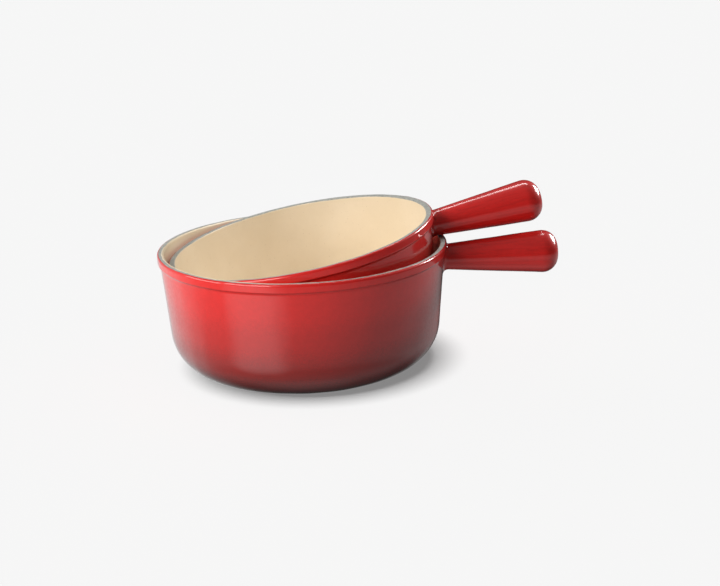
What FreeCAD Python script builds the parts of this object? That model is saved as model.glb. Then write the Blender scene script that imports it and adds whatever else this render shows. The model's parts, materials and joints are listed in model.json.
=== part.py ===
"""Two nesting fondue pots (caquelons) of enamelled cast iron, the small one resting tilted in the large one.

Each pot is one iron casting, bowl and handle together, coated all over with fired enamel: a glossy coat
outside, a pale coat inside, and the matt ground coat left showing on the rim and under the base.
Each coat is its own solid, wrapped round the casting it is fired onto.

Units are millimetres. Z is up, the origin is the centre of the large pot's base, and +X runs under the
large pot's handle. The small pot is as large as nests, and it sits where its own contacts put it: the
underside of its handle on the large rim, and the far edge of its base on the large pot's floor.
"""

import math
import os

import FreeCAD
import Part

# ---- driving dimensions ----
LARGE_RIM_DIAMETER = 220.0   # outside, over the rim band
LARGE_HEIGHT = 93.0
LARGE_CORNER_RADIUS = 33.0   # outside, between wall and base
LARGE_TAPER_DEG = 5.0        # the wall leans out by this much

SMALL_HEIGHT_STEP = 7.0      # how much lower the small pot is
SMALL_CORNER_RADIUS = 31.0
SMALL_TAPER_DEG = 6.5
SMALL_HANDLE_TURN_DEG = 5.9  # the small handle's bearing from the large one's

IRON_WALL = 3.1
IRON_FLOOR = 4.0
ENAMEL = 0.35                # every coat, inside and outside

BAND_HEIGHT = 6.6            # the raised band round the outside of the rim
BAND_PROUD = 1.2             # how far it stands out from the wall
BAND_TOP_RADIUS = 1.3
BAND_FOOT_RADIUS = 0.95
BAND_COVE_RADIUS = 3.2       # the hollow under the band
RIM_INNER_RADIUS = 1.3
GREY_LAP = 0.7               # share of each rim rounding that the grey ground coat laps over

HANDLE_LENGTH = 85.5         # from the rim's outside to the handle's end
HANDLE_ROOT_RADIUS = 9.9
HANDLE_TIP_RADIUS = 17.3     # of the cone, if it ran on to the handle's end
HANDLE_TOP_DROP = 4.4        # the handle's root lies this far under the rim
HANDLE_RISE_DEG = 1.0
HANDLE_DOME_RADIUS = 34.0    # the gently domed end face
HANDLE_EDGE_RADIUS = 12.0    # between that face and the cone
HANDLE_FLARE_RADIUS = 3.4    # where the root runs into the wall
FLARE_SUNK = 0.2             # how far inside the wall the flare starts

REST_GAP = 0.3               # left between the two pots where they would touch
LOW_SIDE_GAP = 2.0           # from the small rim to the large pot's wall, on the low side
HIGH_SIDE_GAP = 0.4          # from the small pot's corner to that wall, under the small handle

# ---- values that follow from them ----
RISE = math.radians(HANDLE_RISE_DEG)
WALL = IRON_WALL + 2 * ENAMEL
FLOOR = IRON_FLOOR + 2 * ENAMEL
HANDLE_SLOPE = math.atan((HANDLE_TIP_RADIUS - HANDLE_ROOT_RADIUS) / HANDLE_LENGTH)
HANDLE_DROP = HANDLE_TOP_DROP + HANDLE_ROOT_RADIUS
FLARE = min(HANDLE_FLARE_RADIUS, HANDLE_TOP_DROP - 2 * ENAMEL)
ABOVE = 20.0                 # how far a cutting solid runs past the rim
STEEPEST_TILT_DEG = 30.0


class Pot:
    """The sizes of one pot. Its own frame has the base's centre at the origin, and the handle along +X."""

    def __init__(self, rim, height, corner, taper_deg):
        self.rim = rim
        self.height = height
        self.corner = corner
        self.taper_deg = taper_deg
        self.taper = math.radians(taper_deg)

    def wall_radius(self, z, inset=0.0):
        """The radius at height z of the wall's outside, or of a surface inset under it."""
        outer = self.rim - BAND_PROUD - (self.height - z) * math.tan(self.taper)
        return outer - inset / math.cos(self.taper)

    def corner_centre(self):
        """The centre (radius, z) of the rounding between wall and base."""
        return self.wall_radius(self.corner) - self.corner / math.cos(self.taper), self.corner

    def inner_corner_centre(self):
        radius = self.corner - WALL
        z = FLOOR + radius
        return self.wall_radius(z, WALL) - radius / math.cos(self.taper), z

    def lip_centre(self):
        """The centre (radius, z) of the rounding along the rim's inner edge."""
        z = self.height - RIM_INNER_RADIUS
        return self.wall_radius(z, WALL) + RIM_INNER_RADIUS / math.cos(self.taper), z


# ---- outlines, in the XZ plane ----
def at(x, z):
    return FreeCAD.Vector(x, 0, z)


def on_circle(centre, radius, degrees):
    a = math.radians(degrees)
    return at(centre[0] + radius * math.cos(a), centre[1] + radius * math.sin(a))


def line(a, b):
    return Part.LineSegment(a, b).toShape()


def arc(centre, radius, start_deg, end_deg):
    points = [on_circle(centre, radius, d) for d in (start_deg, (start_deg + end_deg) / 2, end_deg)]
    return Part.Arc(*points).toShape()


def first(edge):
    return edge.valueAt(edge.FirstParameter)


def last(edge):
    return edge.valueAt(edge.LastParameter)


def spun(start, curves, end, axis):
    """The solid inside an outline that is spun about an axis through the origin.

    The outline runs from start to end along the curves, with straight lines wherever they don't meet.
    """
    edges = []
    here = start
    for curve in curves:
        if here.distanceToPoint(first(curve)) > 1e-6:
            edges.append(line(here, first(curve)))
        edges.append(curve)
        here = last(curve)
    if here.distanceToPoint(end) > 1e-6:
        edges.append(line(here, end))
    edges.append(line(end, start))
    return Part.Face(Part.Wire(edges)).revolve(FreeCAD.Vector(0, 0, 0), axis, 360)


def outside(pot, inset):
    """The pot's outside without its handle, as a solid with no hollow, inset by a coat's thickness or by 0."""
    foot = (pot.rim - BAND_FOOT_RADIUS, pot.height - BAND_HEIGHT + BAND_FOOT_RADIUS)
    # The cove touches the wall from outside, and the band's foot.
    from_wall = (foot[0] - pot.wall_radius(foot[1])) * math.cos(pot.taper)
    across = BAND_COVE_RADIUS - from_wall
    down = math.sqrt((BAND_COVE_RADIUS + BAND_FOOT_RADIUS) ** 2 - across ** 2)
    cove = (foot[0] + across * math.cos(pot.taper) - down * math.sin(pot.taper),
            foot[1] - across * math.sin(pot.taper) - down * math.cos(pot.taper))
    to_cove = math.degrees(math.atan2(cove[1] - foot[1], cove[0] - foot[0]))
    top = (pot.rim - BAND_TOP_RADIUS, pot.height - BAND_TOP_RADIUS)
    curves = [
        arc(pot.corner_centre(), pot.corner - inset, -90, -pot.taper_deg),
        arc(cove, BAND_COVE_RADIUS + inset, 180 - pot.taper_deg, 180 + to_cove),
        arc(foot, BAND_FOOT_RADIUS - inset, to_cove, 0),
        arc(top, BAND_TOP_RADIUS - inset, 0, 90),
    ]
    return spun(at(0, inset), curves, at(0, pot.height - inset), FreeCAD.Vector(0, 0, 1))


def hollow(pot, outset):
    """The pot's hollow, as a solid that runs on above the rim, grown by a coat's thickness or by 0."""
    lip = pot.lip_centre()
    curves = [
        arc(pot.inner_corner_centre(), pot.corner - WALL + outset, -90, -pot.taper_deg),
        arc(lip, RIM_INNER_RADIUS - outset, 180 - pot.taper_deg, 90),
    ]
    top = at(lip[0], pot.height + ABOVE)
    curves.append(line(last(curves[1]), top))
    return spun(at(0, FLOOR - outset), curves, at(0, top.z), FreeCAD.Vector(0, 0, 1))


def flare_depth(pot):
    """How far in from the rim's outside the handle's flare starts, so that it meets the wall all round.

    The wall falls back below the rim by its taper, and to the handle's sides by its curve as well.
    """
    spread = HANDLE_ROOT_RADIUS + FLARE
    below = (HANDLE_DROP + spread) * math.tan(pot.taper)
    beside = HANDLE_DROP * math.tan(pot.taper) + spread ** 2 / (2 * pot.rim)
    return BAND_PROUD + max(below, beside) + FLARE_SUNK


def handle(pot, inset):
    """The handle as a solid that starts inside the wall: a cone with a flared root and a domed end."""
    tan, cos = math.tan(HANDLE_SLOPE), math.cos(HANDLE_SLOPE)
    slope_deg = math.degrees(HANDLE_SLOPE)
    flare_x = FLARE - flare_depth(pot)
    flare = (flare_x, HANDLE_ROOT_RADIUS + flare_x * tan + FLARE / cos)
    # The end's edge touches the cone and the dome from inside.
    dome = (HANDLE_LENGTH - HANDLE_DOME_RADIUS, 0)
    across = HANDLE_ROOT_RADIUS + dome[0] * tan - HANDLE_EDGE_RADIUS / cos
    reach = HANDLE_DOME_RADIUS - HANDLE_EDGE_RADIUS
    along = (math.sqrt(reach ** 2 * (1 + tan ** 2) - across ** 2) - across * tan) / (1 + tan ** 2)
    edge = (dome[0] + along, across + along * tan)
    edge_deg = math.degrees(math.atan2(edge[1], along))
    root_x = -flare_depth(pot) - IRON_WALL / 2
    curves = [
        line(at(root_x, flare[1]), at(flare[0] - FLARE - inset, flare[1])),
        arc(flare, FLARE + inset, 180, 270 + slope_deg),
        arc(edge, HANDLE_EDGE_RADIUS - inset, 90 + slope_deg, edge_deg),
        arc(dome, HANDLE_DOME_RADIUS - inset, edge_deg, 0),
    ]
    solid = spun(at(root_x, 0), curves, last(curves[-1]), FreeCAD.Vector(1, 0, 0))
    solid.rotate(FreeCAD.Vector(0, 0, 0), FreeCAD.Vector(0, 1, 0), -HANDLE_RISE_DEG)
    solid.translate(at(pot.rim, pot.height - HANDLE_DROP))
    return solid


# ---- the pieces of one pot ----
def grey_zone(pot):
    """The ring of space round the rim's top in which the coat is the grey ground coat."""
    inner = pot.lip_centre()[0] - GREY_LAP * RIM_INNER_RADIUS
    outer = pot.rim - (1 - GREY_LAP) * BAND_TOP_RADIUS
    depth = max(BAND_TOP_RADIUS, RIM_INNER_RADIUS)
    bottom = at(0, pot.height - depth)
    disc = Part.makeCylinder(outer, depth + ABOVE, bottom)
    return disc.cut(Part.makeCylinder(inner, depth + ABOVE, bottom))


def pot_pieces(pot):
    """The casting and its coats, in the pot's own frame."""
    pot_hollow = hollow(pot, 0)
    iron_hollow = hollow(pot, ENAMEL)
    iron_outside = outside(pot, ENAMEL).fuse(handle(pot, ENAMEL))
    casting = iron_outside.cut(iron_hollow).removeSplitter()
    coated = outside(pot, 0).fuse(handle(pot, 0))
    ring = grey_zone(pot)
    base = Part.makeCylinder(pot.corner_centre()[0], ENAMEL)
    return {
        "casting": casting,
        "outer_enamel": coated.cut(iron_outside).cut(iron_hollow).cut(ring).cut(base),
        "inner_enamel": iron_hollow.cut(pot_hollow).cut(ring),
        "rim_coat": coated.cut(pot_hollow).cut(casting).common(ring),
        "base_coat": base,
    }


# ---- how the small pot nests and rests ----
def crossing(rising, low, high):
    """Where a rising function passes zero, found by halving an interval."""
    for _ in range(60):
        middle = (low + high) / 2
        if rising(middle) < 0:
            low = middle
        else:
            high = middle
    return (low + high) / 2


def tilted(centre, tilt, x, z):
    """Where a point of the small pot's XZ plane comes to lie, x and z being measured from its rim's centre."""
    return (centre[0] + x * math.cos(tilt) - z * math.sin(tilt),
            centre[1] + x * math.sin(tilt) + z * math.cos(tilt))


def resting_centre(large, small, tilt):
    """The small rim's centre (x, z), with its base's low edge just over the floor and its rim near the wall."""
    flat, corner_z = small.corner_centre()
    low_corner = tilted((0, 0), tilt, -flat, corner_z - small.height)
    z = FLOOR + REST_GAP + small.corner - low_corner[1]
    rim_z = z - small.rim * math.sin(tilt)
    return LOW_SIDE_GAP + small.rim * math.cos(tilt) - large.wall_radius(rim_z, WALL), z


def handle_gap(large, small, tilt):
    """From the small handle's underside to the rounding along the large rim, below 0 if they overlap."""
    lip_x, lip_z = large.lip_centre()
    x = small.rim + HANDLE_ROOT_RADIUS * math.sin(RISE)
    z = -HANDLE_DROP - HANDLE_ROOT_RADIUS * math.cos(RISE)
    x, z = tilted(resting_centre(large, small, tilt), tilt, x, z)
    lean = tilt + RISE - HANDLE_SLOPE
    return (z - lip_z) * math.cos(lean) - (x - lip_x) * math.sin(lean) - RIM_INNER_RADIUS


def corner_gap(large, small, tilt):
    """From the small pot's high corner to the large pot's wall, below 0 if they overlap."""
    flat, corner_z = small.corner_centre()
    x, z = tilted(resting_centre(large, small, tilt), tilt, flat, corner_z - small.height)
    return (large.wall_radius(z, WALL) - x) * math.cos(large.taper) - small.corner


def resting_tilt(large, small):
    steepest = math.radians(STEEPEST_TILT_DEG)
    return crossing(lambda tilt: handle_gap(large, small, tilt) - REST_GAP, 0, steepest)


def nested_pot(large):
    """The largest small pot that rests in the large one with the gaps above."""
    def small_pot(rim):
        return Pot(rim, large.height - SMALL_HEIGHT_STEP, SMALL_CORNER_RADIUS, SMALL_TAPER_DEG)

    def tightness(rim):
        small = small_pot(rim)
        return HIGH_SIDE_GAP - corner_gap(large, small, resting_tilt(large, small))

    return small_pot(crossing(tightness, large.rim / 2, large.rim))


def resting_place(large, small):
    """The placement that rests the small pot, in its own frame, in the large one."""
    tilt = resting_tilt(large, small)
    x, z = resting_centre(large, small, tilt)
    print(f"small pot: rim radius {small.rim:.3f}, tilt {math.degrees(tilt):.3f} deg, "
          f"rim centre {x:.3f} along and {z:.3f} up")
    down = FreeCAD.Placement(at(0, -small.height), FreeCAD.Rotation())
    tip = FreeCAD.Placement(at(x, z), FreeCAD.Rotation(FreeCAD.Vector(0, 1, 0), -math.degrees(tilt)))
    turn = FreeCAD.Placement(at(0, 0), FreeCAD.Rotation(FreeCAD.Vector(0, 0, 1), SMALL_HANDLE_TURN_DEG))
    return turn.multiply(tip).multiply(down)


def export(name, shape):
    assert len(shape.Solids) == 1 and shape.isValid(), name
    print(f"{name}: {shape.Volume / 1000:.2f} cm3")
    shape.exportStep(f"parts/{name}.step")


def main():
    os.makedirs("parts", exist_ok=True)
    large = Pot(LARGE_RIM_DIAMETER / 2, LARGE_HEIGHT, LARGE_CORNER_RADIUS, LARGE_TAPER_DEG)
    small = nested_pot(large)
    for piece, shape in pot_pieces(large).items():
        export(f"large_pot_{piece}", shape)
    place = resting_place(large, small)
    for piece, shape in pot_pieces(small).items():
        shape.Placement = place.multiply(shape.Placement)
        export(f"small_pot_{piece}", shape)


main()
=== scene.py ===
"""The looks of the fondue pot set: enamel, ground coat, floor, studio light and camera.

Every coat is a closed sheet, built in its pot's own frame (base centre at the origin, +X under the handle)
and moved from there to where the CAD model has that pot. Lengths are in metres, and angles in radians
unless a name says degrees.
"""

import json
import math

import bpy
import numpy as np
from mathutils import Matrix, Vector

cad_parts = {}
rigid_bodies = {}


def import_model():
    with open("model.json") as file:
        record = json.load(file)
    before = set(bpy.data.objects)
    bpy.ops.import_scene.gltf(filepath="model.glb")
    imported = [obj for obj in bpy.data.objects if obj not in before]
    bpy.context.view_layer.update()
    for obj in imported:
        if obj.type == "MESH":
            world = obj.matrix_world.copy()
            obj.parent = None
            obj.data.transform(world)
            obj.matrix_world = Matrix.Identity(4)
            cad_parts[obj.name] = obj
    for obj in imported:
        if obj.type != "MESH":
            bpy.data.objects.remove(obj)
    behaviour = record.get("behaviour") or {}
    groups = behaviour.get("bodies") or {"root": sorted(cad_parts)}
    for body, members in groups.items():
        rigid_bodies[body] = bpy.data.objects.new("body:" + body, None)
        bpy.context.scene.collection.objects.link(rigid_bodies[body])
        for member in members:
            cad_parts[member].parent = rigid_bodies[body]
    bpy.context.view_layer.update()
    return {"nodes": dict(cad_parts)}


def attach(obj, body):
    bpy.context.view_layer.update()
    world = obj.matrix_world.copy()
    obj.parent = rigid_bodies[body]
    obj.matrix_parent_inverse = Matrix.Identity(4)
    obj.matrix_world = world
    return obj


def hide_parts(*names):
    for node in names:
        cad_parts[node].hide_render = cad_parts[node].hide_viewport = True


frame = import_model()

MM = 0.001

# ---- the CAD model's sizes ----
LARGE_CORNER, LARGE_TAPER_DEG = 33.0 * MM, 5.0
SMALL_CORNER, SMALL_TAPER_DEG = 31.0 * MM, 6.5
IRON_WALL, IRON_FLOOR, ENAMEL = 3.1 * MM, 4.0 * MM, 0.35 * MM
BAND_HEIGHT, BAND_PROUD = 6.6 * MM, 1.2 * MM
BAND_TOP_RADIUS, BAND_FOOT_RADIUS, BAND_COVE_RADIUS = 1.3 * MM, 0.95 * MM, 3.2 * MM
RIM_INNER_RADIUS, GREY_LAP = 1.3 * MM, 0.7
HANDLE_LENGTH, HANDLE_ROOT, HANDLE_TIP = 85.5 * MM, 9.9 * MM, 17.3 * MM
HANDLE_TOP_DROP, HANDLE_RISE_DEG = 4.4 * MM, 1.0
HANDLE_DOME, HANDLE_EDGE = 34.0 * MM, 12.0 * MM
WALL = IRON_WALL + 2 * ENAMEL
FLOOR = IRON_FLOOR + 2 * ENAMEL
HANDLE_DROP = HANDLE_TOP_DROP + HANDLE_ROOT    # the handle's axis starts this far under the rim

# ---- the detail that the looks add ----
COLUMNS = 360                 # round the pot
WINDOW_COLUMNS = 10           # each side of the handle, where the handle's own rings take over
WINDOW_DEPTH = 26 * MM        # the window goes this far down from the cove
FILLET = 5.0 * MM             # reach of the smooth joint between handle and wall
FILLET_STOP = 1.3 * MM        # it ends this far under the rim
FILLET_FADE = 9.0 * MM        # and grows to its full reach over this
FILLET_LEAST = 0.08           # share of its reach that is left at the rim
SAMPLE = 0.02 * MM            # step along an outline
EDGE_ROUND = 0.35 * MM        # the glossy coats roll over towards the bare rim within this
EDGE_DROP = 0.22 * MM
EDGE_STEPS = np.array([0.35, 0.26, 0.18, 0.11, 0.06, 0.025, 0.0]) * MM
OUTER_SHORT = 1.0 * MM        # the outer coat ends this far before the rim's flat top
OUTER_START = 0.9 * MM        # and starts this far up the corner from the flat base
EXTRA_LAP = 1.9 * MM          # it laps up to this much further over the top on one side
INNER_CLIMB = 1.5 * MM        # how far the inner coat's edge strays from the CAD model's
GREY_INSET = 0.13 * MM        # the bare ground coat lies this far under the glossy coats
GREY_TUCK = 0.12 * MM         # and runs this far in under their edges
RIM_ROWS = 26
GRAIN = 0.02 * MM             # roughness of the bare rim
RIPPLE = 0.045 * MM           # height of the slow waves in a fired coat
RIPPLE_LENGTHS = (13 * MM, 42 * MM)
RIPPLE_WAVES = 28
BASE_RECESS = 0.16 * MM       # the base's middle is hollow by this
BASE_RING = 0.05 * MM         # a turned ring in the hollow

# The handle's outline and its rings.
HANDLE_START = 12 * MM        # the cone is drawn from this far inside the rim
CONE_SAMPLES, EDGE_SAMPLES, DOME_SAMPLES = 1200, 400, 300
JOINT_RINGS = 18              # between the wall's window and the handle
JOINT_REACH = 8.0 * MM        # from the wall to the first whole ring
EVEN_FROM = 9.0 * MM          # the rings start to even out here
EVEN_OVER = 25.0 * MM
LEVEL_OVER = 9.0 * MM         # and stand square to the axis after this
CONE_STEP, CAP_STEP = 1.5 * MM, 1.1 * MM

# The edges wander by these waves round the pot: whole waves in one turn, and their height.
OUTER_WANDER = (3, 7, 12, 19, 31, 47), 0.16 * MM
INNER_WANDER = (4, 9, 14, 23, 37, 58), 0.20 * MM
BASE_WANDER = (2, 5, 9, 16, 29), 0.25 * MM
EDGE_SEEDS = {"large_pot": 10, "small_pot": 20}
OUTSIDE_SEED, INSIDE_SEED, GRAIN_SEED = 5, 6, 7
# The side, in degrees from the handle, where the pot hung lowest in the spray.
LOW_SIDE_DEG = {"large_pot": -80, "small_pot": -100}


# ---- the pots' places and sizes, measured on the CAD nodes ----
def corners_of(node):
    """All the points of a CAD node's mesh, in the row's frame."""
    mesh = frame["nodes"][node].data
    points = np.empty(len(mesh.vertices) * 3)
    mesh.vertices.foreach_get("co", points)
    return points.reshape(-1, 3)


class Pot:
    """One pot's sizes, and the matrix that places its own frame in the row's."""

    def __init__(self, name, corner, taper_deg):
        self.name = name
        self.corner = corner
        self.taper = math.radians(taper_deg)
        disc = corners_of(f"{name}_base_coat")
        middle = disc.mean(0)
        up = np.linalg.svd(disc - middle)[2][2]
        up *= np.sign(up[2])
        # A tilted pot leans away from its handle, and a level one has it along +X.
        along = np.array([1.0, 0, 0]) if up[2] > 0.99999 else np.array([-up[0], -up[1], 0])
        along -= up * (along @ up)
        along /= np.linalg.norm(along)
        across = np.cross(up, along)
        x, y = (disc - middle) @ along, (disc - middle) @ across
        fit = np.linalg.lstsq(np.stack([2 * x, 2 * y, np.ones_like(x)], 1), x * x + y * y, rcond=None)[0]
        base = middle + fit[0] * along + fit[1] * across
        base += up * ((disc - base) @ up).min()
        self.matrix = Matrix.Identity(4)
        for column, axis in enumerate((along, across, up, base)):
            for row in range(3):
                self.matrix[row][column] = axis[row]
        rim = corners_of(f"{name}_rim_coat") - base
        self.rim = np.hypot(rim @ along, rim @ across).max() + (1 - GREY_LAP) * BAND_TOP_RADIUS
        self.height = (rim @ up).max()

    def wall_radius(self, z, inset=0.0):
        """Radius of the tapered wall's outside, or of a surface inset from it, at height z."""
        outer = self.rim - BAND_PROUD - (self.height - z) * math.tan(self.taper)
        return outer - inset / math.cos(self.taper)


# ---- outlines ----
class Outline:
    """A closed pot's outline in its (radius, height) plane, sampled finely, with normals out of the metal.

    It starts at the edge of the flat base, goes up the outside, over the rim and down inside to the axis.
    """

    def __init__(self, pot):
        taper, turn = pot.taper, math.pi / 2
        self.marks = {}
        self.points, self.normals = [], []
        corner_x = pot.wall_radius(pot.corner) - pot.corner / math.cos(taper)
        foot = (pot.rim - BAND_FOOT_RADIUS, pot.height - BAND_HEIGHT + BAND_FOOT_RADIUS)
        from_wall = (foot[0] - pot.wall_radius(foot[1])) * math.cos(taper)
        across = BAND_COVE_RADIUS - from_wall
        down = math.sqrt((BAND_COVE_RADIUS + BAND_FOOT_RADIUS) ** 2 - across ** 2)
        cove = (foot[0] + across * math.cos(taper) - down * math.sin(taper),
                foot[1] - across * math.sin(taper) - down * math.cos(taper))
        to_cove = math.atan2(cove[1] - foot[1], cove[0] - foot[0])
        top = (pot.rim - BAND_TOP_RADIUS, pot.height - BAND_TOP_RADIUS)
        lip_z = pot.height - RIM_INNER_RADIUS
        lip = (pot.wall_radius(lip_z, WALL) + RIM_INNER_RADIUS / math.cos(taper), lip_z)
        inner = pot.corner - WALL
        inner_z = FLOOR + inner
        inner_corner = (pot.wall_radius(inner_z, WALL) - inner / math.cos(taper), inner_z)
        self.arc("corner", (corner_x, pot.corner), pot.corner, -turn, -taper)
        self.arc("cove", cove, BAND_COVE_RADIUS, math.pi - taper, math.pi + to_cove, hollow=True)
        self.arc("foot", foot, BAND_FOOT_RADIUS, to_cove, 0)
        self.arc("top", top, BAND_TOP_RADIUS, 0, turn)
        self.arc("lip", lip, RIM_INNER_RADIUS, turn, math.pi - taper)
        self.arc("inner corner", inner_corner, inner, -taper, -turn, hollow=True)
        self.line_to(np.array([0.0, FLOOR]))
        self.marks["axis"] = len(self.points) - 1
        self.points, self.normals = np.array(self.points), np.array(self.normals)
        steps = np.linalg.norm(np.diff(self.points, axis=0), axis=1)
        self.s = np.concatenate([[0], np.cumsum(steps)])
        self.marks = {name: self.s[i] for name, i in self.marks.items()}

    def line_to(self, end):
        """Straight samples after the last point, up to end. There are none if end is that point."""
        start = self.points[-1]
        length = np.linalg.norm(end - start)
        if length == 0:
            return
        count = max(2, int(length / SAMPLE / 10))
        along = (end - start) / length
        normal = np.array([along[1], -along[0]])
        for t in np.linspace(0, 1, count + 1)[1:]:
            self.points.append(start + t * (end - start))
            self.normals.append(normal)

    def arc(self, name, centre, radius, start, end, hollow=False):
        """An arc, with a straight run before it, and marks at its two ends."""
        angles = np.linspace(start, end, max(8, int(abs(end - start) * radius / SAMPLE)))
        rays = np.stack([np.cos(angles), np.sin(angles)], 1)
        if self.points:
            self.line_to(np.array(centre) + radius * rays[0])
        self.marks[name] = len(self.points)
        self.points.extend(np.array(centre) + radius * rays)
        self.normals.extend(-rays if hollow else rays)
        self.marks[name + " end"] = len(self.points) - 1

    def at(self, s, inset=0.0):
        """Points (radius, height) at distances s along the outline, moved in by inset."""
        where = [np.interp(s, self.s, self.points[:, k]) for k in (0, 1)]
        facing = [np.interp(s, self.s, self.normals[:, k]) for k in (0, 1)]
        return where[0] - inset * facing[0], where[1] - inset * facing[1]

    def rows(self, *stops):
        """Distances along the outline: stops is mark, step, mark, step, ... mark."""
        marks = [m if isinstance(m, float) else self.marks[m] for m in stops[::2]]
        out = [np.array([marks[0]])]
        for a, b, step in zip(marks, marks[1:], stops[1::2]):
            out.append(np.linspace(a, b, max(1, math.ceil((b - a) / step)) + 1)[1:])
        return np.concatenate(out)


def handle_outline():
    """The handle's outline as (distance along its axis, radius) and normals, from its root to its pole."""
    slope = math.atan((HANDLE_TIP - HANDLE_ROOT) / HANDLE_LENGTH)
    tan, cos = math.tan(slope), math.cos(slope)
    dome = HANDLE_LENGTH - HANDLE_DOME
    across = HANDLE_ROOT + dome * tan - HANDLE_EDGE / cos
    reach = HANDLE_DOME - HANDLE_EDGE
    along = (math.sqrt(reach ** 2 * (1 + tan ** 2) - across ** 2) - across * tan) / (1 + tan ** 2)
    edge = np.array([dome + along, across + along * tan])
    edge_end = math.atan2(edge[1], along)
    angles = np.linspace(math.pi / 2 + slope, edge_end, EDGE_SAMPLES)
    rays = np.stack([np.cos(angles), np.sin(angles)], 1)
    edge_arc = edge + HANDLE_EDGE * rays
    start = np.array([-HANDLE_START, HANDLE_ROOT - HANDLE_START * tan])
    cone = start + np.linspace(0, 1, CONE_SAMPLES)[:, None] * (edge_arc[0] - start)
    cone_normals = np.tile([-math.sin(slope), math.cos(slope)], (len(cone), 1))
    angles = np.linspace(edge_end, 0, DOME_SAMPLES)
    dome_rays = np.stack([np.cos(angles), np.sin(angles)], 1)
    dome_arc = np.array([dome, 0]) + HANDLE_DOME * dome_rays
    points = np.concatenate([cone, edge_arc[1:], dome_arc[1:]])
    normals = np.concatenate([cone_normals, rays[1:], dome_rays[1:]])
    return points, normals, edge_arc[0][0]


# ---- small helpers on arrays ----
def smooth(t):
    t = np.clip(t, 0, 1)
    return t * t * (3 - 2 * t)


def waves(angle, seed, counts, height):
    """A wavy line round the pot: a sum of whole waves with seeded heights and starts."""
    draw = np.random.default_rng(seed)
    total = np.zeros_like(angle)
    for count in counts:
        total += draw.normal() * np.sin(count * angle + draw.uniform(0, 2 * math.pi))
    return height * total / math.sqrt(len(counts))


def ripple(points, seed):
    """Slow waves of about unit height in space, the same wherever two pieces share a place."""
    draw = np.random.default_rng(seed)
    total = np.zeros(len(points))
    for _ in range(RIPPLE_WAVES):
        wave = draw.normal(size=3)
        wave *= 2 * math.pi / (draw.uniform(*RIPPLE_LENGTHS) * np.linalg.norm(wave))
        total += np.sin(points @ wave + draw.uniform(0, 2 * math.pi))
    return total / math.sqrt(RIPPLE_WAVES / 2)


def vertex_normals(points, faces):
    """Unit normals from groups of faces, one group for each number of corners."""
    total = np.zeros_like(points)
    for face_group in faces:
        a, b, c = (points[face_group[:, k]] for k in (0, 1, 2))
        normal = np.cross(b - a, c - a)
        if face_group.shape[1] == 4:
            normal = np.cross(c - a, points[face_group[:, 3]] - b)
        for k in range(face_group.shape[1]):
            np.add.at(total, face_group[:, k], normal)
    return total / np.maximum(np.linalg.norm(total, axis=1, keepdims=True), 1e-12)


def closed_sheet(points, faces, thickness):
    """Gives an open sheet its thickness: a second sheet under it, and a strip along each free edge."""
    normals = vertex_normals(points, faces)
    count = len(points)
    under = points - thickness * normals
    directed = set()    # every face edge, in its face's direction: a free one has no opposite
    for face_group in faces:
        for k in range(face_group.shape[1]):
            following = (k + 1) % face_group.shape[1]
            directed.update(zip(face_group[:, k].tolist(), face_group[:, following].tolist()))
    strip = [(b, a, a + count, b + count) for a, b in sorted(directed) if (b, a) not in directed]
    polygons = [tuple(f) for group in faces for f in group.tolist()]
    polygons += [tuple(i + count for i in reversed(f)) for group in faces for f in group.tolist()]
    return np.concatenate([points, under]), polygons + strip


def make_piece(pot, coat, points, faces, thickness, material, seed):
    """A coat as a Blender object that rides with its pot and stands for the CAD coat."""
    used = np.unique(np.concatenate([group.ravel() for group in faces]))
    renumber = np.full(len(points), -1)
    renumber[used] = np.arange(len(used))
    points = points[used]
    faces = [renumber[group] for group in faces]
    points = points + RIPPLE * ripple(points, seed)[:, None] * vertex_normals(points, faces)
    all_points, polygons = closed_sheet(points, faces, thickness)
    place = np.array(pot.matrix)
    all_points = all_points @ place[:3, :3].T + place[:3, 3]
    mesh = bpy.data.meshes.new(f"{pot.name}_{coat}_skin")
    mesh.from_pydata(all_points.tolist(), [], polygons)
    mesh.shade_smooth()
    mesh.materials.append(material)
    piece = bpy.data.objects.new(f"{pot.name}_{coat}_skin", mesh)
    bpy.context.scene.collection.objects.link(piece)
    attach(piece, pot.name)
    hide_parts(f"{pot.name}_{coat}")
    return piece


def turned(outline, s, inset, angle):
    """Points of revolution, with one s, inset and angle for each."""
    radius, height = outline.at(s, inset)
    return np.stack([radius * np.cos(angle), radius * np.sin(angle), height], -1)


def grid_faces(rows, columns):
    """Quads of a grid that closes round its columns, facing out of the metal."""
    i, j = np.meshgrid(np.arange(rows - 1), np.arange(columns), indexing="ij")
    i, j, right = i.ravel(), j.ravel(), ((j + 1) % columns).ravel()
    here, above = i * columns, (i + 1) * columns
    return np.stack([here + j, here + right, above + right, above + j], 1)


# ---- where one coat stops and the next starts ----
def outer_edge(outline):
    """The glossy coat ends a little below the top of the rim's outer rounding."""
    return float(outline.marks["top end"] - OUTER_SHORT)


def inner_edge(outline):
    """The pale coat starts where the CAD model's does, part of the way round the rim's inner rounding."""
    return float(outline.marks["lip"] + math.asin(GREY_LAP) * RIM_INNER_RADIUS)


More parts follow.
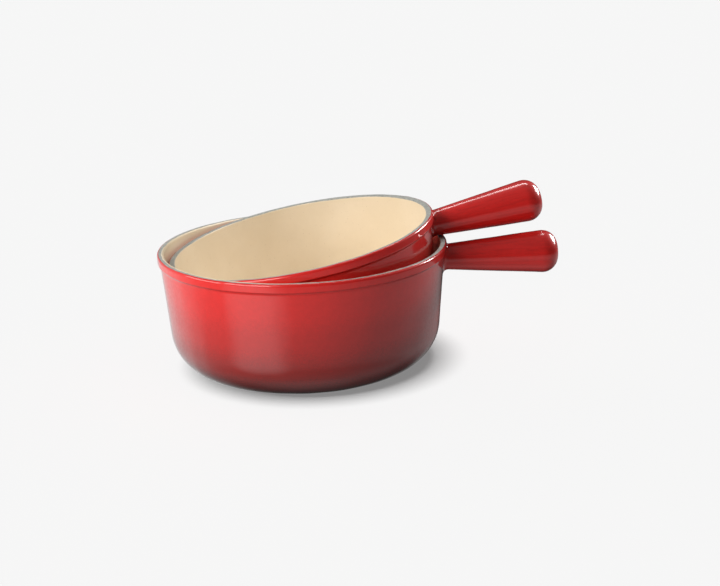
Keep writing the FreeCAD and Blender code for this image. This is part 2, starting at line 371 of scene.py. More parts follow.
def boundary(pot, outline, which, angle):
    """The distance along the outline of the glossy, pale or base coat's edge, which wanders a little."""
    seed = EDGE_SEEDS[pot.name]
    to_handle = 0.5 + 0.5 * np.cos(angle)
    if which == "outer":
        # The glaze runs furthest over the rim on the low side.
        low_side = math.radians(LOW_SIDE_DEG[pot.name])
        lap = EXTRA_LAP * (0.5 + 0.5 * np.cos(angle - low_side)) ** 1.5
        return outer_edge(outline) + lap + waves(angle, seed, *OUTER_WANDER)
    if which == "inner":
        # The large pot's pale coat climbs the rim away from the handle. The small pot's stops lower by it.
        away = 1 - to_handle
        stray = -INNER_CLIMB * away if pot.name == "large_pot" else 0.5 * INNER_CLIMB * to_handle ** 2
        return inner_edge(outline) + stray + waves(angle, seed + 1, *INNER_WANDER)
    return OUTER_START + waves(angle, seed + 2, *BASE_WANDER)


def edge_inset(distance):
    """How far a glossy coat's surface drops at a distance from its edge."""
    t = np.clip(1 - distance / EDGE_ROUND, 0, 1)
    return EDGE_DROP * (1 - np.sqrt(1 - t * t))


# ---- the handle, joined smoothly to the wall ----
class Handle:
    """The handle's axis, its directions across, and its outline."""

    def __init__(self, pot):
        self.points, self.normals, self.cone_end = handle_outline()
        rise = math.radians(HANDLE_RISE_DEG)
        self.origin = np.array([pot.rim, 0, pot.height - HANDLE_DROP])
        self.along = np.array([math.cos(rise), 0, math.sin(rise)])
        self.side = np.array([0, 1.0, 0])
        self.up = np.array([-math.sin(rise), 0, math.cos(rise)])
        steps = np.linalg.norm(np.diff(self.points, axis=0), axis=1)
        self.s = np.concatenate([[0], np.cumsum(steps)])

    def point(self, x, radius, theta):
        ring = self.side * np.cos(theta)[..., None] + self.up * np.sin(theta)[..., None]
        return self.origin + self.along * x[..., None] + ring * radius[..., None]

    def radius_at(self, x):
        return np.interp(x, self.points[:, 0], self.points[:, 1])

    def angle_of(self, points):
        from_axis = points - self.origin
        return np.arctan2(from_axis @ self.up, from_axis @ self.side)


def nearest(samples, normals, a, b):
    """Signed distances from points (a, b) of a half plane to a sampled outline, and its normals there."""
    distance, facing = np.empty(len(a)), np.empty((len(a), 2))
    chunk = 2000
    for start in range(0, len(a), chunk):
        part = slice(start, start + chunk)
        gap = (a[part, None] - samples[None, :, 0]) ** 2 + (b[part, None] - samples[None, :, 1]) ** 2
        i = gap.argmin(1)
        off_a, off_b = a[part] - samples[i, 0], b[part] - samples[i, 1]
        distance[part] = off_a * normals[i, 0] + off_b * normals[i, 1]
        facing[part] = normals[i]
    return distance, facing


def wall_distance(outline_part, points):
    """Signed distance from each point to the pot's outside, and the way out of the metal there."""
    radius = np.hypot(points[:, 0], points[:, 1])
    distance, facing = nearest(*outline_part, radius, points[:, 2])
    outward = points[:, :2] / radius[:, None]
    return distance, np.column_stack([outward * facing[:, :1], facing[:, 1]])


def handle_distance(handle, points):
    """The same for the handle."""
    from_origin = points - handle.origin
    x = from_origin @ handle.along
    off = from_origin - x[:, None] * handle.along
    radius = np.maximum(np.linalg.norm(off, axis=1), 1e-9)
    distance, facing = nearest(handle.points[::3], handle.normals[::3], x, radius)
    return distance, facing[:, :1] * handle.along + facing[:, 1:] * off / radius[:, None]


def settle(points, pot, outline_part, handle, passes=7):
    """Moves points onto the smooth union of the pot's outside and its handle."""
    points = points.copy()
    for _ in range(passes):
        wall, wall_normal = wall_distance(outline_part, points)
        bar, bar_normal = handle_distance(handle, points)
        # The fillet fades out towards the rim's top, so it leaves the rim's own rounding alone.
        below_rim = pot.height - FILLET_STOP - points[:, 2]
        reach = FILLET * (FILLET_LEAST + (1 - FILLET_LEAST) * smooth(below_rim / FILLET_FADE))
        share = np.clip(0.5 + 0.5 * (bar - wall) / reach, 0, 1)
        distance = share * wall + (1 - share) * bar - reach * share * (1 - share)
        normal = share[:, None] * wall_normal + (1 - share[:, None]) * bar_normal
        normal /= np.linalg.norm(normal, axis=1, keepdims=True)
        points -= distance[:, None] * normal
    return points


def outer_wall(pot, outline, angle, window_low):
    """The wall's rows: their distances along the outline, their points, and how far each point is inset."""
    marks = outline.marks
    last = boundary(pot, outline, "outer", angle)
    first = boundary(pot, outline, "base", angle)
    nominal_end = outer_edge(outline)
    rows = outline.rows("corner", 2.4 * MM, "corner end", 2.4 * MM, window_low, 1.6 * MM, "cove", 0.4 * MM,
                        "foot", 0.22 * MM, "foot end", 0.5 * MM, "top", 0.16 * MM, nominal_end)
    rows = rows[rows < nominal_end - EDGE_ROUND * 1.2]
    rows[0] = OUTER_START
    rows = np.concatenate([rows, nominal_end - EDGE_STEPS])
    fade_top = smooth((rows - (nominal_end - 3 * MM)) / (3 * MM))[:, None]
    fade_low = smooth(1 - (rows - OUTER_START) / (4 * MM))[:, None]
    s = rows[:, None] + fade_top * (last - nominal_end)[None] + fade_low * (first - OUTER_START)[None]
    inset = edge_inset(last[None] - s) + edge_inset(s - first[None])
    points = turned(outline, s, inset, np.broadcast_to(angle, s.shape)).reshape(-1, 3)
    return rows, points, inset.reshape(-1)


def window_loop(low, high):
    """Vertex numbers round the window in the wall that the handle grows from."""
    across = [(j - WINDOW_COLUMNS) % COLUMNS for j in range(2 * WINDOW_COLUMNS + 1)]
    loop = [(low, j) for j in across[:-1]]
    loop += [(i, across[-1]) for i in range(low, high)]
    loop += [(high, j) for j in across[:0:-1]]
    loop += [(i, across[0]) for i in range(high, low, -1)]
    return np.array([i * COLUMNS + j for i, j in loop])


def handle_rings(handle, rim_point, outline_part):
    """Rings of points from the window's edge along the handle, and the pole at its end."""
    count = len(rim_point)
    theta = np.unwrap(handle.angle_of(rim_point))
    even = theta[0] + np.arange(count) * 2 * math.pi / count
    even += (theta - even).mean()
    # Where each line along the handle meets the wall, found by halving.
    near_x, far_x = np.full(count, -9 * MM), np.full(count, 3 * MM)
    for _ in range(24):
        middle = (near_x + far_x) / 2
        trial = handle.point(middle, handle.radius_at(middle), theta)
        inside_wall = wall_distance(outline_part, trial)[0] < 0
        near_x, far_x = np.where(inside_wall, middle, near_x), np.where(inside_wall, far_x, middle)
    foot = handle.point(near_x, handle.radius_at(near_x), theta)
    clear_x = near_x + JOINT_REACH
    clear = handle.point(clear_x, handle.radius_at(clear_x), theta)
    rings = []
    for t in np.linspace(0, 1, JOINT_RINGS + 1)[1:]:
        rings.append((1 - t) ** 2 * rim_point + 2 * t * (1 - t) * foot + t * t * clear)
    for x in np.arange(EVEN_FROM + CONE_STEP, handle.cone_end - 0.7 * MM, CONE_STEP):
        turn, level = smooth((x - EVEN_FROM) / EVEN_OVER), smooth((x - EVEN_FROM) / LEVEL_OVER)
        here = x + (1 - level) * (clear_x - EVEN_FROM)
        rings.append(handle.point(here, handle.radius_at(here), theta * (1 - turn) + even * turn))
    end_s = np.interp(handle.cone_end, handle.points[:CONE_SAMPLES, 0], handle.s[:CONE_SAMPLES])
    last_s = handle.s[-1]
    for s_here in np.concatenate([np.arange(end_s, last_s - 1.2 * MM, CAP_STEP), [last_s - 0.6 * MM]]):
        x = np.interp(s_here, handle.s, handle.points[:, 0])
        radius = np.interp(s_here, handle.s, handle.points[:, 1])
        rings.append(handle.point(np.full(count, x), np.full(count, radius), even))
    pole = handle.point(np.array([handle.points[-1, 0]]), np.array([0.0]), np.zeros(1))
    return rings, pole


def build_outer(pot, outline, material):
    """The red coat over the wall and the handle, as one sheet."""
    handle = Handle(pot)
    marks = outline.marks
    angle = np.arange(COLUMNS) * 2 * math.pi / COLUMNS
    window_low = float(marks["cove"] - WINDOW_DEPTH)
    rows, points, inset = outer_wall(pot, outline, angle, window_low)
    low, high = np.searchsorted(rows, window_low - 1e-9), np.searchsorted(rows, marks["top"] - 1e-9)
    faces = grid_faces(len(rows), COLUMNS)
    i, j = faces[:, 0] // COLUMNS, faces[:, 0] % COLUMNS
    beside = (j + WINDOW_COLUMNS) % COLUMNS
    faces = faces[~((i >= low) & (i < high) & (beside < 2 * WINDOW_COLUMNS))]
    loop = window_loop(low, high)

    near = (outline.s > marks["corner end"] - 5 * MM) & (outline.s < marks["lip"])
    outline_part = outline.points[near][::2], outline.normals[near][::2]
    rings, pole = handle_rings(handle, points[loop], outline_part)

    # The wall beside the handle joins in the fillet, apart from the coat's rolled edge.
    start = len(points)
    band = np.arange(low - 2, len(rows))[:, None] * COLUMNS
    touched = (band + (np.arange(-2 * WINDOW_COLUMNS, 2 * WINDOW_COLUMNS + 1) % COLUMNS)[None]).ravel()
    touched = touched[inset[touched] <= 0]
    points[touched] = settle(points[touched], pot, outline_part, handle)
    points = np.concatenate([points, settle(np.concatenate(rings + [pole]), pot, outline_part, handle)])
    index = np.concatenate([[loop], start + np.arange(len(rings) * len(loop)).reshape(len(rings), -1)])
    following = np.roll(index, -1, axis=1)
    tube = np.stack([index[:-1], following[:-1], following[1:], index[1:]], -1).reshape(-1, 4)
    tip = np.stack([index[-1], following[-1], np.full(len(loop), len(points) - 1)], 1)
    return make_piece(pot, "outer_enamel", points, [np.concatenate([faces, tube]), tip], ENAMEL, material,
                      OUTSIDE_SEED)


def build_rim(pot, outline, material):
    """The bare ground coat along the rim, a little under the glossy coats' edges."""
    angle = np.arange(COLUMNS) * 2 * math.pi / COLUMNS
    first = boundary(pot, outline, "outer", angle) - GREY_TUCK
    last = boundary(pot, outline, "inner", angle) + GREY_TUCK
    t = np.linspace(0, 1, RIM_ROWS)[:, None]
    s = first[None] * (1 - t) + last[None] * t
    grain = GRAIN * np.random.default_rng(GRAIN_SEED).normal(size=s.shape)
    grain[[0, -1]] = 0
    points = turned(outline, s, GREY_INSET + grain, np.broadcast_to(angle, s.shape)).reshape(-1, 3)
    faces = grid_faces(RIM_ROWS, COLUMNS)
    return make_piece(pot, "rim_coat", points, [faces], ENAMEL - GREY_INSET, material,
                      OUTSIDE_SEED)


def build_inner(pot, outline, material):
    """The cream coat over the inside."""
    angle = np.arange(COLUMNS) * 2 * math.pi / COLUMNS
    first = boundary(pot, outline, "inner", angle)
    nominal = inner_edge(outline)
    below_lip = float(outline.marks["lip end"] + 4 * MM)
    rows = outline.rows(nominal, 0.18 * MM, "lip end", 0.3 * MM, below_lip, 2.4 * MM, "inner corner",
                        2.0 * MM, "inner corner end", 3.0 * MM, "axis")
    rows = np.concatenate([nominal + EDGE_STEPS[::-1], rows[rows > nominal + EDGE_ROUND * 1.2]])[:-1]
    fade = smooth(1 - (rows - nominal) / (3 * MM))[:, None]
    s = rows[:, None] + fade * (first - nominal)[None]
    inset = edge_inset(s - first[None])
    points = turned(outline, s, inset, np.broadcast_to(angle, s.shape)).reshape(-1, 3)
    points = np.concatenate([points, [[0, 0, FLOOR]]])
    faces = grid_faces(len(rows), COLUMNS)
    last_row = (len(rows) - 1) * COLUMNS + np.arange(COLUMNS)
    centre = np.stack([last_row, np.roll(last_row, -1), np.full(COLUMNS, len(points) - 1)], 1)
    return make_piece(pot, "inner_enamel", points, [faces, centre], ENAMEL, material,
                      INSIDE_SEED)


def build_base(pot, outline, material):
    """The bare coat under the base: a flat ring that the pot stands on, round a shallow recess."""
    angle = np.arange(COLUMNS) * 2 * math.pi / COLUMNS
    edge = boundary(pot, outline, "base", angle)
    flat = outline.points[0, 0]
    radii = np.concatenate([[0.6 * MM], np.arange(3 * MM, flat - 14 * MM, 2.4 * MM),
                            np.arange(flat - 14 * MM, flat - 0.2 * MM, 0.8 * MM), [flat]])
    recess = BASE_RECESS * (1 - smooth((radii - (flat - 12 * MM)) / (3 * MM)))
    recess += BASE_RING * np.exp(-((radii - flat * 0.45) / (1.2 * MM)) ** 2)
    rows = []
    for radius, z in zip(radii, recess):
        rows.append(np.stack([radius * np.cos(angle), radius * np.sin(angle), np.full(COLUMNS, z)], 1))
    for share in (0.5, 1.0):
        s = share * (edge + GREY_TUCK)
        rows.append(turned(outline, s, np.full(COLUMNS, GREY_INSET * share), angle))
    points = np.concatenate(rows + [[[0, 0, recess[0]]]])
    faces = grid_faces(len(rows), COLUMNS)
    ring = np.arange(COLUMNS)
    centre = np.stack([np.roll(ring, -1), ring, np.full(COLUMNS, len(points) - 1)], 1)
    return make_piece(pot, "base_coat", points, [faces, centre], ENAMEL - GREY_INSET,
                      material, INSIDE_SEED)


# ---- materials ----
class Nodes:
    """A material's node tree, with short calls for the nodes used here."""

    def __init__(self, name, pot=None):
        self.material = bpy.data.materials.new(name)
        self.material.use_nodes = True
        self.tree = self.material.node_tree
        self.shader = self.tree.nodes["Principled BSDF"]
        self.place = self.add("ShaderNodeTexCoord").outputs["Object"]
        if pot:
            # From the row's frame back to the pot's own.
            mapping = self.add("ShaderNodeMapping", vector_type="TEXTURE")
            mapping.inputs["Location"].default_value = pot.matrix.translation
            mapping.inputs["Rotation"].default_value = pot.matrix.to_euler()
            self.feed(mapping.inputs["Vector"], self.place)
            self.place = mapping.outputs["Vector"]

    def add(self, kind, **settings):
        node = self.tree.nodes.new(kind)
        for key, value in settings.items():
            setattr(node, key, value)
        return node

    def feed(self, socket, value):
        if isinstance(value, bpy.types.NodeSocket):
            self.tree.links.new(value, socket)
        else:
            socket.default_value = value

    def axes(self):
        node = self.add("ShaderNodeSeparateXYZ")
        self.feed(node.inputs[0], self.place)
        return node.outputs

    def math(self, operation, a, b=0.0):
        node = self.add("ShaderNodeMath", operation=operation)
        self.feed(node.inputs[0], a)
        self.feed(node.inputs[1], b)
        return node.outputs[0]

    def noise(self, scale, detail=2.0, roughness=0.5, stretch=None):
        """Noise whose features are about 1 / scale metres across."""
        node = self.add("ShaderNodeTexNoise")
        node.inputs["Scale"].default_value = scale
        node.inputs["Detail"].default_value = detail
        node.inputs["Roughness"].default_value = roughness
        where = self.place
        if stretch:
            mapping = self.add("ShaderNodeMapping")
            mapping.inputs["Scale"].default_value = stretch
            self.feed(mapping.inputs["Vector"], self.place)
            where = mapping.outputs["Vector"]
        self.feed(node.inputs["Vector"], where)
        return node.outputs["Fac"]

    def specks(self, scale, size):
        """Sparse round specks, 1 at their middles and 0 between them."""
        node = self.add("ShaderNodeTexVoronoi")
        node.inputs["Scale"].default_value = scale
        self.feed(node.inputs["Vector"], self.place)
        return self.spread(node.outputs["Distance"], size, size * 0.35)

    def spread(self, value, low, high, to_low=0.0, to_high=1.0):
        """Maps low..high to to_low..to_high, and holds the ends outside it."""
        node = self.add("ShaderNodeMapRange", clamp=True)
        self.feed(node.inputs["Value"], value)
        node.inputs["From Min"].default_value = low
        node.inputs["From Max"].default_value = high
        node.inputs["To Min"].default_value = to_low
        node.inputs["To Max"].default_value = to_high
        return node.outputs["Result"]

    def ramp(self, value, stops):
        node = self.add("ShaderNodeValToRGB")
        node.color_ramp.interpolation = "EASE"
        for _ in range(len(stops) - 2):
            node.color_ramp.elements.new(0.5)
        for element, (position, colour) in zip(node.color_ramp.elements, stops):
            element.position = position
            element.color = (*colour, 1)
        self.feed(node.inputs["Fac"], value)
        return node.outputs["Color"]

    def mix(self, share, a, b):
        node = self.add("ShaderNodeMix", data_type="RGBA")
        self.feed(node.inputs["Factor"], share)
        for socket, value in ((node.inputs["A"], a), (node.inputs["B"], b)):
            self.feed(socket, (*value, 1) if isinstance(value, tuple) else value)
        return node.outputs["Result"]

    def bump(self, heights, inputs=("Normal",)):
        """Bump from (height, millimetres) pairs, each on top of the last."""
        normal = None
        for height, size in heights:
            node = self.add("ShaderNodeBump")
            node.inputs["Distance"].default_value = size * MM
            node.inputs["Strength"].default_value = 1.0
            self.feed(node.inputs["Height"], height)
            if normal:
                self.feed(node.inputs["Normal"], normal)
            normal = node.outputs["Normal"]
        for name in inputs:
            self.feed(self.shader.inputs[name], normal)


def red_enamel(pot):
    """Translucent red coat over a dark ground: bright at the rim and brown-black towards the base. The
    darkening is partly the coat's own ombré and partly painted shade near the floor.
    """
    nodes = Nodes(f"{pot.name}_red_enamel", pot)
    axes = nodes.axes()
    patches = nodes.spread(nodes.noise(26, 3), 0.3, 0.7, -0.02, 0.02)
    spray = nodes.spread(nodes.noise(900, 2, 0.7), 0.3, 0.7, -0.05, 0.05)
    level = nodes.math("MULTIPLY", axes["Z"], 1 / pot.height)
    level = nodes.math("ADD", nodes.math("ADD", level, patches), spray)
    # Darker towards the base: partly the enamel's own ombré, partly painted shade where the floor shades
    # the pot's lower part.
    ombre_and_painted_shade = nodes.ramp(level, [
        (0.02, (0.055, 0.011, 0.009)), (0.10, (0.145, 0.012, 0.010)), (0.26, (0.270, 0.013, 0.010)),
        (0.52, (0.490, 0.014, 0.011)), (0.78, (0.650, 0.015, 0.012)), (1.0, (0.710, 0.016, 0.013)),
    ])
    mottle = nodes.spread(nodes.noise(240, 3, 0.6), 0.35, 0.65)
    tone = nodes.mix(nodes.math("MULTIPLY", mottle, 0.08), ombre_and_painted_shade, (0.10, 0.004, 0.004))
    # The glaze ran a little along the handle, which left fine lengthwise streaks there.
    on_handle = nodes.spread(axes["X"], pot.rim + 3 * MM, pot.rim + 18 * MM)
    streaks = nodes.math("MULTIPLY", nodes.noise(1.0, 2, 0.5, stretch=(14, 520, 520)), on_handle)
    dark_streaks = nodes.math("MULTIPLY", nodes.spread(streaks, 0.46, 0.66), 0.22)
    tone = nodes.mix(dark_streaks, tone, (0.24, 0.006, 0.005))
    nodes.feed(nodes.shader.inputs["Base Color"], tone)
    rough = nodes.spread(nodes.noise(420, 3), 0.3, 0.7, 0.36, 0.48)
    nodes.feed(nodes.shader.inputs["Roughness"], rough)
    nodes.shader.inputs["Specular IOR Level"].default_value = 0.15
    nodes.shader.inputs["Coat Weight"].default_value = 1.0
    nodes.shader.inputs["Coat Roughness"].default_value = 0.05
    nodes.shader.inputs["Coat IOR"].default_value = 1.5
    nodes.bump([(nodes.noise(190, 2, 0.4), 0.022), (nodes.noise(1500, 2, 0.5), 0.004), (streaks, 0.016)],
               ("Normal", "Coat Normal"))
    return nodes.material


def cream_enamel():
    nodes = Nodes("cream_enamel")
    tone = nodes.ramp(nodes.noise(22, 4), [
        (0.3, (0.78, 0.642, 0.450)), (0.7, (0.83, 0.695, 0.505)),
    ])
    clouds = nodes.spread(nodes.noise(300, 3, 0.6), 0.4, 0.75)
    tone = nodes.mix(nodes.math("MULTIPLY", clouds, 0.10), tone, (0.70, 0.57, 0.38))
    pinholes = nodes.math("MULTIPLY", nodes.specks(340, 0.10), 0.55)
    tone = nodes.mix(pinholes, tone, (0.30, 0.20, 0.11))
    nodes.feed(nodes.shader.inputs["Base Color"], tone)
    nodes.feed(nodes.shader.inputs["Roughness"], nodes.spread(nodes.noise(160, 3), 0.3, 0.7, 0.30, 0.42))
    nodes.shader.inputs["Coat Weight"].default_value = 0.6
    nodes.shader.inputs["Coat Roughness"].default_value = 0.22
    nodes.bump([(nodes.noise(150, 2, 0.4), 0.03), (nodes.noise(1400, 2, 0.5), 0.006)],
               ("Normal", "Coat Normal"))
    return nodes.material


def ground_coat(name, dark, light, speck, roughness):
    """Bare ground coat: matt, speckled, faintly rough."""
    nodes = Nodes(name)
    tone = nodes.ramp(nodes.noise(500, 4, 0.65), [(0.3, dark), (0.7, light)])
    tone = nodes.mix(nodes.math("MULTIPLY", nodes.specks(900, 0.22), 0.6), tone, speck)
    tone = nodes.mix(nodes.math("MULTIPLY", nodes.spread(nodes.noise(45, 3), 0.45, 0.7), 0.35), tone, dark)
    nodes.feed(nodes.shader.inputs["Base Color"], tone)
    nodes.feed(nodes.shader.inputs["Roughness"], nodes.spread(nodes.noise(700, 3), 0.3, 0.7, *roughness))
    nodes.bump([(nodes.noise(350, 2), 0.03), (nodes.noise(2200, 3, 0.6), 0.02)])
    return nodes.material


def bare_iron():
    """The grey iron under the coats."""
    nodes = Nodes("cast_iron")
    tone = nodes.ramp(nodes.noise(380, 5, 0.6), [(0.3, (0.045, 0.045, 0.05)), (0.7, (0.13, 0.125, 0.12))])
    nodes.feed(nodes.shader.inputs["Base Color"], tone)
    nodes.feed(nodes.shader.inputs["Roughness"], nodes.spread(nodes.noise(240, 3), 0.3, 0.7, 0.55, 0.8))
    nodes.shader.inputs["Metallic"].default_value = 0.8
    nodes.bump([(nodes.noise(260, 4, 0.6), 0.12), (nodes.noise(1300, 3, 0.6), 0.04)])
    return nodes.material


# ---- studio ----
BACKDROP = 0.922      # linear grey of the floor and the background
FLOOR_ALBEDO = 0.2
FLOOR_GLOW = 0.23
FLOOR_ROOM = 0.030    # what the room's light adds to the floor
FLOOR_HALF = 30.0
FLOOR_Z = -0.2 * MM   # just under the base, so that the two faces don't share a plane

# The room's brightness by height, from straight down (0) over the horizon (0.5) to straight up (1).
ROOM = (
    (0.00, 0.48), (0.05, 0.36), (0.15, 0.32), (0.27, 0.54), (0.36, 0.48), (0.46, 0.05),
    (0.75, 0.10), (0.90, 0.18), (1.00, 0.22),
)
ROOM_LEAST = 0.02
# Brighter and darker parts of the room: azimuth, elevation, inner and outer radius in degrees, brightness.
# Azimuth 0 is towards the viewer and grows towards -X.
POOLS = (
    (41, -25, 1, 29, 1.0),      # light from the strip on the floor in front
    (138, -4, 20, 56, 0.53),    # the pale sweep behind, to the left
    (180, -50, 20, 52, -0.28),  # the shaded floor behind and under the pots
    (188, 2, 8, 34, -0.30),     # the dark room behind the handles
)
# Softboxes: name, azimuth, elevation, distance, size, power, and the point that it is aimed at.
BOWL, HANDLES = (0, 0, 0.05), (0.14, 0, 0.09)
GLAZE_LIGHTS = (
    ("key", 40, 24, 0.7, (0.4, 0.26), 3.0, BOWL),
    ("side", 78, 16, 0.7, (0.4, 0.26), 1.7, BOWL),
    ("strip", 28, 26, 1.2, (0.4, 0.10), 1.0, BOWL),
    ("back_strip", 180, 57, 1.2, (0.7, 0.08), 1.3, HANDLES),
    ("back_soft", 180, 61, 1.2, (0.7, 0.26), 2.6, HANDLES),
    ("back_right", 233, 21, 1.2, (0.55, 0.45), 15, (0.15, 0, 0.09)),
)
CREAM_LIGHTS = (
    ("inside_left", 78, 20, 0.9, (0.5, 0.4), 5.0, BOWL),
    ("inside_front", 30, 30, 1.2, (0.6, 0.4), 6.5, BOWL),
    ("inside_right", 246, 52, 1.4, (1.1, 0.9), 15.5, BOWL),
)
OVERHEAD_FROM = (-0.11, -0.05, 1)    # the floor's own light shines from here to the origin
OVERHEAD_WIDTH_DEG = 19
SHADES_FLOOR = ("small_pot_inner_enamel_skin", "large_pot_base_coat_skin")


def build_floor():
    mesh = bpy.data.meshes.new("floor")
    corners = [(x * FLOOR_HALF, y * FLOOR_HALF, FLOOR_Z) for x, y in ((-1, -1), (1, -1), (1, 1), (-1, 1))]
    mesh.from_pydata(corners, [], [(0, 1, 2, 3)])
    floor = bpy.data.objects.new("floor", mesh)
    bpy.context.scene.collection.objects.link(floor)
    # The pots are lit and reflected by the room's own pale lower half, not by this plane.
    floor.visible_diffuse = False
    floor.visible_glossy = False
    return floor


def floor_material():
    """A pale floor that keeps a little of its brightness where the overhead light doesn't reach."""
    nodes = Nodes("floor")
    diffuse = nodes.add("ShaderNodeBsdfDiffuse")
    diffuse.inputs["Color"].default_value = (FLOOR_ALBEDO,) * 3 + (1,)
    glow = nodes.add("ShaderNodeEmission")
    glow.inputs["Strength"].default_value = FLOOR_GLOW
    both = nodes.add("ShaderNodeAddShader")
    nodes.feed(both.inputs[0], diffuse.outputs[0])
    nodes.feed(both.inputs[1], glow.outputs[0])
    nodes.feed(nodes.tree.nodes["Material Output"].inputs["Surface"], both.outputs[0])
    nodes.tree.nodes.remove(nodes.shader)
    return nodes.material


def aim(item, at):
    item.rotation_euler = (Vector(at) - item.location).to_track_quat("-Z", "Y").to_euler()


def add_light(name, kind, power, receivers, **settings):
    light = bpy.data.lights.new(name, kind)
    light.energy = power
    for key, value in settings.items():
        setattr(light, key, value)
    item = bpy.data.objects.new(name, light)
    bpy.context.scene.collection.objects.link(item)
    item.visible_camera = False
    item.light_linking.receiver_collection = receivers
    return item


def direction(azimuth_deg, elevation_deg):
    a, e = math.radians(azimuth_deg), math.radians(elevation_deg)
    return Vector((-math.sin(a) * math.cos(e), -math.cos(a) * math.cos(e), math.sin(e)))


def softbox(receivers, name, azimuth, elevation, distance, size, power, target):
    """A rectangular softbox, in a direction as in POOLS from its target."""
    box = add_light(name, "AREA", power, receivers, shape="RECTANGLE", size=size[0], size_y=size[1])
    box.location = Vector(target) + distance * direction(azimuth, elevation)
    aim(box, target)


def build_world():
    """The camera sees a background as pale as the floor. The pots are lit by a dimmer room round them."""
    world = bpy.data.worlds.new("studio")
    bpy.context.scene.world = world
    world.use_nodes = True
    tree = world.node_tree
    shown = tree.nodes["Background"]
    shown.inputs["Color"].default_value = (BACKDROP,) * 3 + (1,)
    room = tree.nodes.new("ShaderNodeBackground")
    place = tree.nodes.new("ShaderNodeTexCoord")
    split = tree.nodes.new("ShaderNodeSeparateXYZ")
    half = tree.nodes.new("ShaderNodeMapRange")
    half.inputs["From Min"].default_value = -1
    ramp = tree.nodes.new("ShaderNodeValToRGB")
    ramp.color_ramp.interpolation = "EASE"
    for _ in ROOM[2:]:
        ramp.color_ramp.elements.new(0.5)
    for element, (position, grey) in zip(ramp.color_ramp.elements, ROOM):
        element.position = position
        element.color = (grey, grey, grey, 1)
    path = tree.nodes.new("ShaderNodeLightPath")
    mix = tree.nodes.new("ShaderNodeMixShader")
    tree.links.new(place.outputs["Generated"], split.inputs[0])
    tree.links.new(split.outputs["Z"], half.inputs["Value"])
    tree.links.new(half.outputs["Result"], ramp.inputs["Fac"])
    brightness = ramp.outputs["Color"]
    for azimuth, elevation, inner, outer, amount in POOLS:
        toward = tree.nodes.new("ShaderNodeVectorMath")
        toward.operation = "DOT_PRODUCT"
        toward.inputs[1].default_value = direction(azimuth, elevation)
        pool = tree.nodes.new("ShaderNodeMapRange")
        pool.interpolation_type = "SMOOTHSTEP"
        pool.inputs["From Min"].default_value = math.cos(math.radians(outer))
        pool.inputs["From Max"].default_value = math.cos(math.radians(inner))
        pool.inputs["To Max"].default_value = abs(amount)
        total = tree.nodes.new("ShaderNodeMath")
        total.operation = "ADD" if amount > 0 else "SUBTRACT"
        tree.links.new(place.outputs["Generated"], toward.inputs[0])
        tree.links.new(toward.outputs["Value"], pool.inputs["Value"])
        tree.links.new(brightness, total.inputs[0])
        tree.links.new(pool.outputs["Result"], total.inputs[1])
        brightness = total.outputs[0]
    at_least = tree.nodes.new("ShaderNodeMath")
    at_least.operation = "MAXIMUM"
    at_least.inputs[1].default_value = ROOM_LEAST
    tree.links.new(brightness, at_least.inputs[0])
    tree.links.new(at_least.outputs[0], room.inputs["Color"])
    tree.links.new(path.outputs["Is Camera Ray"], mix.inputs[0])
    tree.links.new(room.outputs[0], mix.inputs[1])
    tree.links.new(shown.outputs[0], mix.inputs[2])
    tree.links.new(mix.outputs[0], tree.nodes["World Output"].inputs["Surface"])


CAMERA_ELEVATION_DEG, CAMERA_ROLL_DEG, CAMERA_BEARING_DEG = 16.613, 2.099, -0.978
CAMERA_LENS_MM, CAMERA_SENSOR_MM = 72.15, 36
# Distance and offsets of the camera from the large rim's centre, in rim radii.
CAMERA_BACK, CAMERA_ASIDE, CAMERA_ABOVE = 10, 0.4008, -0.3371


def build_camera(pot):
    """The camera that the photograph's rims and walls fit: 16.6 degrees above the pot, a little rolled."""
    elevation, roll = math.radians(CAMERA_ELEVATION_DEG), math.radians(CAMERA_ROLL_DEG)
    back = Vector((0, -math.cos(elevation), math.sin(elevation)))
    right, up = Vector((1, 0, 0)), Vector((0, math.sin(elevation), math.cos(elevation)))
    across = right * math.cos(roll) - up * math.sin(roll)
    upright = right * math.sin(roll) + up * math.cos(roll)
    place = pot.rim * (across * CAMERA_ASIDE + upright * CAMERA_ABOVE + back * CAMERA_BACK)
    turn = Matrix.Rotation(math.radians(CAMERA_BEARING_DEG), 4, "Z")
    data = bpy.data.cameras.new("camera")
    data.lens = CAMERA_LENS_MM
    data.sensor_width = CAMERA_SENSOR_MM
    data.clip_end = 100
    camera = bpy.data.objects.new("camera", data)
    bpy.context.scene.collection.objects.link(camera)
    pose = Matrix.Identity(4)
    for column, axis in enumerate((across, upright, back, place)):
        for row in range(3):
            pose[row][column] = axis[row]
    camera.matrix_world = Matrix.Translation((0, 0, pot.height)) @ turn @ pose
    bpy.context.scene.camera = camera


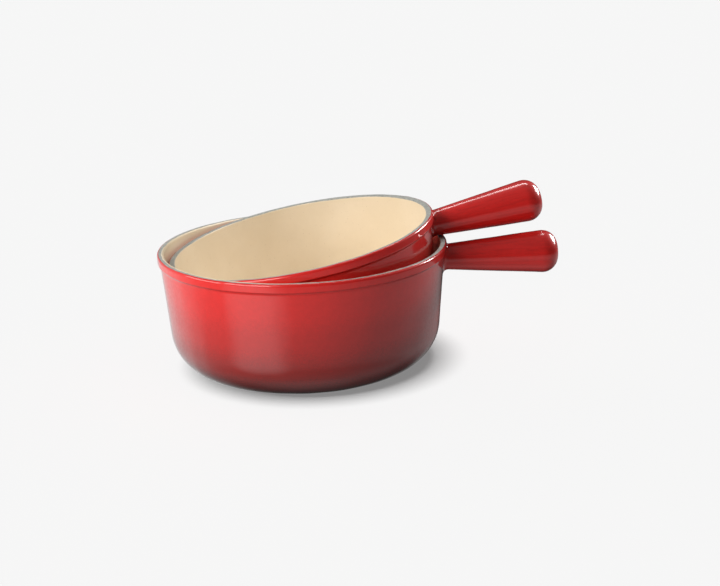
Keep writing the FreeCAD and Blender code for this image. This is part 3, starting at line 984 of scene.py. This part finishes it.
def build_studio():
    """The floor and its light, softboxes for the outer coats and others for the inner and rim coats."""
    floor = build_floor()
    floor.data.materials.append(floor_material())
    on_floor = bpy.data.collections.new("lit_floor")
    on_floor.objects.link(floor)
    on_glaze = bpy.data.collections.new("lit_glaze")
    on_cream = bpy.data.collections.new("lit_cream")
    for item in bpy.context.scene.objects:
        if item.type == "MESH" and item is not floor:
            inside = "inner_enamel" in item.name or "rim_coat" in item.name
            (on_cream if inside else on_glaze).objects.link(item)
    # A soft light overhead lights only the floor. Only the small pot's bowl and the large pot's
    # base stand in its way, so the floor is dark just round the base.
    shade = bpy.data.collections.new("shades_floor")
    for name in SHADES_FLOOR:
        shade.objects.link(bpy.data.objects[name])
    power = (BACKDROP - FLOOR_GLOW - FLOOR_ROOM) * math.pi / FLOOR_ALBEDO
    overhead = add_light("floor_light", "SUN", power, on_floor, angle=math.radians(OVERHEAD_WIDTH_DEG))
    overhead.location = OVERHEAD_FROM
    aim(overhead, (0, 0, 0))
    overhead.light_linking.blocker_collection = shade
    for light in GLAZE_LIGHTS:
        softbox(on_glaze, *light)
    for light in CREAM_LIGHTS:
        softbox(on_cream, *light)
    build_world()


# ---- make everything ----
def main():
    view = bpy.context.scene.view_settings
    view.view_transform = "Standard"
    view.look = "None"
    large = Pot("large_pot", LARGE_CORNER, LARGE_TAPER_DEG)
    small = Pot("small_pot", SMALL_CORNER, SMALL_TAPER_DEG)
    cream = cream_enamel()
    grey = ground_coat("ground_coat", (0.25, 0.255, 0.235), (0.44, 0.44, 0.40), (0.15, 0.15, 0.13),
                       (0.45, 0.6))
    dark = ground_coat("base_ground_coat", (0.02, 0.018, 0.017), (0.05, 0.045, 0.042), (0.10, 0.09, 0.08),
                       (0.5, 0.7))
    iron = bare_iron()
    for pot in (large, small):
        outline = Outline(pot)
        build_outer(pot, outline, red_enamel(pot))
        build_rim(pot, outline, grey)
        build_inner(pot, outline, cream)
        build_base(pot, outline, dark)
        casting = frame["nodes"][f"{pot.name}_casting"]
        casting.data.materials.clear()
        casting.data.materials.append(iron)
    build_camera(large)
    build_studio()


main()
